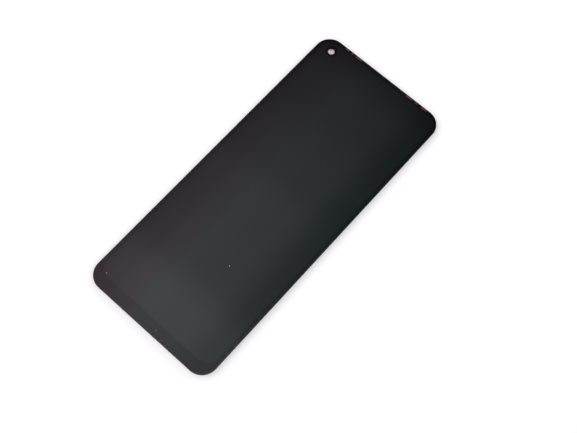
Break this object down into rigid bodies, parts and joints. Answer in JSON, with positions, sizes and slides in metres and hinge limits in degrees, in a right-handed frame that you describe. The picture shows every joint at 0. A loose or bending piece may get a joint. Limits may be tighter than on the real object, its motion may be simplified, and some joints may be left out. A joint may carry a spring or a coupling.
{
  "type": "phone lcd screen assembly",
  "caption": "Phone LCD screen with rounded cover glass, corner camera window, steel-backed backlight and a folded flex with its board connector.",
  "frame": {"origin": "under the middle of the cover glass, level with the lowest face of the board connector", "axes": "+X towards the phone's right, +Y towards the camera end, +Z out of the screen towards the viewer"},
  "size_m": [0.0684, 0.1574, 0.0032],
  "materials": {
    "cover_glass": "polished clear glass with a ground, rounded edge",
    "cell_glass": "thin clear display glass",
    "black_ink": "printed black border, dead matt behind the glass",
    "clear_adhesive": "clear cured adhesive",
    "polariser": "dark neutral polarising film",
    "cell_seal": "hardened seal",
    "liquid_crystal": "dark thin film",
    "bare_silicon": "bare polished silicon",
    "sealant": "cured translucent sealant",
    "clear_film": "clear film with fine prisms",
    "diffuser": "milky film",
    "light_guide": "clear moulded sheet",
    "reflector": "bright reflective film",
    "black_tape": "black adhesive tape",
    "led_case": "white case with a yellow phosphor window",
    "frame_plastic": "black moulded frame",
    "plate_steel": "bright rolled stainless sheet",
    "black_foam": "soft black foam",
    "flex_film": "amber brown film over copper tracks",
    "flex_adhesive": "black double-sided adhesive",
    "stiffener": "thin stainless stiffener",
    "connector_plastic": "dark moulded housing",
    "gold_contact": "gold plated contact",
    "capacitor": "tan ceramic with tinned ends",
    "chip_package": "black moulded package",
    "solder": "bright solder",
    "white_flex": "thin white coated flex"
  },
  "bodies": {
    "root": {"array_glass": "cell_glass", "back_plate": "plate_steel", "backlight_frame": "frame_plastic", "bias_chip": "chip_package", "board_stiffener": "stiffener", "border_ink": "black_ink", "camera_gasket": "black_foam", "camera_ink_ring": "black_ink", "camera_sleeve": "frame_plastic", "camera_tape": "black_tape", "capacitors": "capacitor", "cell_seal": "cell_seal", "colour_filter_glass": "cell_glass", "connector_contacts": "gold_contact", "connector_housing": "connector_plastic", "connector_stiffener": "stiffener", "connector_tabs": "gold_contact", "cover_glass": "cover_glass", "diffuser_film": "diffuser", "driver_chip": "bare_silicon", "flex_adhesive": "flex_adhesive", "fold_tape": "black_tape", "front_polariser": "polariser", "inductor": "chip_package", "led_01": "led_case", "led_02": "led_case", "led_03": "led_case", "led_04": "led_case", "led_05": "led_case", "led_06": "led_case", "led_07": "led_case", "led_08": "led_case", "led_09": "led_case", "led_10": "led_case", "led_11": "led_case", "led_12": "led_case", "led_13": "led_case", "led_14": "led_case", "led_flex": "white_flex", "ledge_sealant": "sealant", "light_guide": "light_guide", "liquid_crystal": "liquid_crystal", "lower_prism_film": "clear_film", "main_flex": "flex_film", "memory_chip": "chip_package", "optical_adhesive": "clear_adhesive", "rear_polariser": "polariser", "reflector_film": "reflector", "rim_tape": "black_tape", "solder_joints": "solder", "stiffener_adhesive": "flex_adhesive", "upper_prism_film": "clear_film"}
  },
  "joints": []
}
